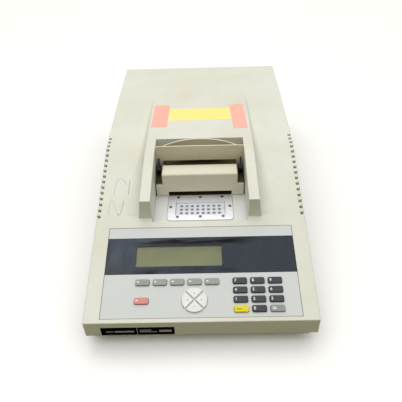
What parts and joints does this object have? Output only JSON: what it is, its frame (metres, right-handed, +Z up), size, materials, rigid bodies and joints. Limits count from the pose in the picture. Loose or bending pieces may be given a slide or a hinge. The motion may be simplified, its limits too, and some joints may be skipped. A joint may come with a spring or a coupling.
{
  "type": "thermal cycler",
  "caption": "Bench-top thermal cycler with a sloping keypad and display panel, a tube block and a sliding heated lid with a bail lever.",
  "frame": {"origin": "on the bench under the middle of the housing", "axes": "+Z up, +Y from the front lip to the rear panel, +X to the user's right"},
  "size_m": [0.326, 0.607, 0.1523],
  "materials": {
    "cream_plastic": "fine moulded texture, semi-matt",
    "tan_plastic": "fine moulded texture, semi-matt",
    "grey_paint": "powder coat on sheet steel",
    "white_paint": "smooth light paint on aluminium sheet",
    "black_rubber": "matt",
    "zinc_steel": "zinc plated",
    "dark_screw": "black oxide, worn bright",
    "dark_steel": "blackened",
    "black_label": "printed film, blank",
    "red_tape": "paper marking tape",
    "yellow_tape": "paper marking tape",
    "silver_plate": "satin anodised",
    "block_silver": "machined, satin",
    "bare_aluminium": "extruded, bare",
    "white_ceramic": "alumina ceramic",
    "panel_grey": "printed film, fine texture",
    "dark_gloss": "tinted acrylic",
    "clear_window": "clear",
    "lcd_green": "grey-green display glass",
    "green_board": "solder mask",
    "black_plastic": "moulded",
    "grey_key": "moulded",
    "red_key": "moulded",
    "white_key": "moulded",
    "charcoal_key": "moulded",
    "yellow_key": "moulded",
    "pale_key": "moulded"
  },
  "bodies": {
    "chassis": {"base_pan": "grey_paint", "block_frame": "silver_plate", "block_frame_screws": "dark_screw", "case_screws": "zinc_steel", "channel_floor": "white_paint", "display_strip": "dark_gloss", "fan_frame": "black_plastic", "fan_guard": "zinc_steel", "fuse_drawer": "black_plastic", "guide_rails": "zinc_steel", "heat_sink": "bare_aluminium", "keypad_board": "green_board", "lcd_module": "lcd_green", "lcd_window": "clear_window", "main_board": "green_board", "name_plate": "black_label", "panel_overlay": "panel_grey", "power_inlet": "black_plastic", "power_supply": "grey_paint", "rear_panel": "grey_paint", "red_tapes": "red_tape", "rubber_feet": "black_rubber", "sample_block": "block_silver", "serial_port": "zinc_steel", "switch_bezel": "black_plastic", "thermoelectric_modules": "white_ceramic", "top_cover": "cream_plastic", "yellow_tape": "yellow_tape"},
    "lid": {"lid_housing": "tan_plastic", "lid_runners": "black_plastic", "lid_frame": "zinc_steel", "platen_springs": "zinc_steel", "lever_pins": "zinc_steel"},
    "platen": {"heated_platen": "bare_aluminium"},
    "lever": {"lid_lever": "tan_plastic", "lever_links": "dark_steel"},
    "rocker": {"power_switch": "black_plastic"},
    "fan": {"fan_rotor": "black_plastic"},
    "soft_key_1_body": {"soft_key_1": "grey_key"},
    "soft_key_2_body": {"soft_key_2": "grey_key"},
    "soft_key_3_body": {"soft_key_3": "grey_key"},
    "soft_key_4_body": {"soft_key_4": "grey_key"},
    "soft_key_5_body": {"soft_key_5": "grey_key"},
    "stop_key_body": {"stop_key": "red_key"},
    "clear_key_body": {"clear_key": "yellow_key"},
    "enter_key_body": {"enter_key": "pale_key"},
    "key_0_body": {"key_0": "charcoal_key"},
    "key_1_body": {"key_1": "charcoal_key"},
    "key_2_body": {"key_2": "charcoal_key"},
    "key_3_body": {"key_3": "charcoal_key"},
    "key_4_body": {"key_4": "charcoal_key"},
    "key_5_body": {"key_5": "charcoal_key"},
    "key_6_body": {"key_6": "charcoal_key"},
    "key_7_body": {"key_7": "charcoal_key"},
    "key_8_body": {"key_8": "charcoal_key"},
    "key_9_body": {"key_9": "charcoal_key"},
    "arrow_up_body": {"arrow_up": "white_key"},
    "arrow_down_body": {"arrow_down": "white_key"},
    "arrow_left_body": {"arrow_left": "white_key"},
    "arrow_right_body": {"arrow_right": "white_key"}
  },
  "joints": [
    {"name": "lid_slide", "type": "slide", "parent": "chassis", "child": "lid", "axis": [0, -1, 0], "range_m": [0, 0.07]},
    {"name": "lever_hinge", "type": "hinge", "parent": "lid", "child": "lever", "pos_m": [0, -0.0378, 0.115], "axis": [1, 0, 0], "range_deg": [0, 90]},
    {"name": "platen_press", "type": "slide", "parent": "lid", "child": "platen", "axis": [0, 0, -1], "range_m": [0, 0.0031]},
    {"name": "rocker_tip", "type": "hinge", "parent": "chassis", "child": "rocker", "pos_m": [-0.095, 0.2955, 0.098], "axis": [1, 0, 0], "range_deg": [-14, 0]},
    {"name": "fan_spin", "type": "hinge", "parent": "chassis", "child": "fan", "pos_m": [0.06, 0.287, 0.077], "axis": [0, 1, 0], "continuous": true},
    {"name": "soft_key_1_press", "type": "slide", "parent": "chassis", "child": "soft_key_1_body", "axis": [0, 0.2856, -0.9584], "range_m": [0, 0.0008], "stiffness_N_per_m": 600, "springref_m": -0.0006},
    {"name": "soft_key_2_press", "type": "slide", "parent": "chassis", "child": "soft_key_2_body", "axis": [0, 0.2856, -0.9584], "range_m": [0, 0.0008], "stiffness_N_per_m": 600, "springref_m": -0.0006},
    {"name": "soft_key_3_press", "type": "slide", "parent": "chassis", "child": "soft_key_3_body", "axis": [0, 0.2856, -0.9584], "range_m": [0, 0.0008], "stiffness_N_per_m": 600, "springref_m": -0.0006},
    {"name": "soft_key_4_press", "type": "slide", "parent": "chassis", "child": "soft_key_4_body", "axis": [0, 0.2856, -0.9584], "range_m": [0, 0.0008], "stiffness_N_per_m": 600, "springref_m": -0.0006},
    {"name": "soft_key_5_press", "type": "slide", "parent": "chassis", "child": "soft_key_5_body", "axis": [0, 0.2856, -0.9584], "range_m": [0, 0.0008], "stiffness_N_per_m": 600, "springref_m": -0.0006},
    {"name": "stop_key_press", "type": "slide", "parent": "chassis", "child": "stop_key_body", "axis": [0, 0.2856, -0.9584], "range_m": [0, 0.0008], "stiffness_N_per_m": 600, "springref_m": -0.0006},
    {"name": "clear_key_press", "type": "slide", "parent": "chassis", "child": "clear_key_body", "axis": [0, 0.2856, -0.9584], "range_m": [0, 0.0008], "stiffness_N_per_m": 600, "springref_m": -0.0006},
    {"name": "enter_key_press", "type": "slide", "parent": "chassis", "child": "enter_key_body", "axis": [0, 0.2856, -0.9584], "range_m": [0, 0.0008], "stiffness_N_per_m": 600, "springref_m": -0.0006},
    {"name": "key_0_press", "type": "slide", "parent": "chassis", "child": "key_0_body", "axis": [0, 0.2856, -0.9584], "range_m": [0, 0.0008], "stiffness_N_per_m": 600, "springref_m": -0.0006},
    {"name": "key_1_press", "type": "slide", "parent": "chassis", "child": "key_1_body", "axis": [0, 0.2856, -0.9584], "range_m": [0, 0.0008], "stiffness_N_per_m": 600, "springref_m": -0.0006},
    {"name": "key_2_press", "type": "slide", "parent": "chassis", "child": "key_2_body", "axis": [0, 0.2856, -0.9584], "range_m": [0, 0.0008], "stiffness_N_per_m": 600, "springref_m": -0.0006},
    {"name": "key_3_press", "type": "slide", "parent": "chassis", "child": "key_3_body", "axis": [0, 0.2856, -0.9584], "range_m": [0, 0.0008], "stiffness_N_per_m": 600, "springref_m": -0.0006},
    {"name": "key_4_press", "type": "slide", "parent": "chassis", "child": "key_4_body", "axis": [0, 0.2856, -0.9584], "range_m": [0, 0.0008], "stiffness_N_per_m": 600, "springref_m": -0.0006},
    {"name": "key_5_press", "type": "slide", "parent": "chassis", "child": "key_5_body", "axis": [0, 0.2856, -0.9584], "range_m": [0, 0.0008], "stiffness_N_per_m": 600, "springref_m": -0.0006},
    {"name": "key_6_press", "type": "slide", "parent": "chassis", "child": "key_6_body", "axis": [0, 0.2856, -0.9584], "range_m": [0, 0.0008], "stiffness_N_per_m": 600, "springref_m": -0.0006},
    {"name": "key_7_press", "type": "slide", "parent": "chassis", "child": "key_7_body", "axis": [0, 0.2856, -0.9584], "range_m": [0, 0.0008], "stiffness_N_per_m": 600, "springref_m": -0.0006},
    {"name": "key_8_press", "type": "slide", "parent": "chassis", "child": "key_8_body", "axis": [0, 0.2856, -0.9584], "range_m": [0, 0.0008], "stiffness_N_per_m": 600, "springref_m": -0.0006},
    {"name": "key_9_press", "type": "slide", "parent": "chassis", "child": "key_9_body", "axis": [0, 0.2856, -0.9584], "range_m": [0, 0.0008], "stiffness_N_per_m": 600, "springref_m": -0.0006},
    {"name": "arrow_up_press", "type": "slide", "parent": "chassis", "child": "arrow_up_body", "axis": [0, 0.2856, -0.9584], "range_m": [0, 0.0008], "stiffness_N_per_m": 600, "springref_m": -0.0006},
    {"name": "arrow_down_press", "type": "slide", "parent": "chassis", "child": "arrow_down_body", "axis": [0, 0.2856, -0.9584], "range_m": [0, 0.0008], "stiffness_N_per_m": 600, "springref_m": -0.0006},
    {"name": "arrow_left_press", "type": "slide", "parent": "chassis", "child": "arrow_left_body", "axis": [0, 0.2856, -0.9584], "range_m": [0, 0.0008], "stiffness_N_per_m": 600, "springref_m": -0.0006},
    {"name": "arrow_right_press", "type": "slide", "parent": "chassis", "child": "arrow_right_body", "axis": [0, 0.2856, -0.9584], "range_m": [0, 0.0008], "stiffness_N_per_m": 600, "springref_m": -0.0006}
  ],
  "couplings": [
    {"joint": "platen_press", "follows": "lever_hinge", "m_per_rad": 0.0019099}
  ]
}
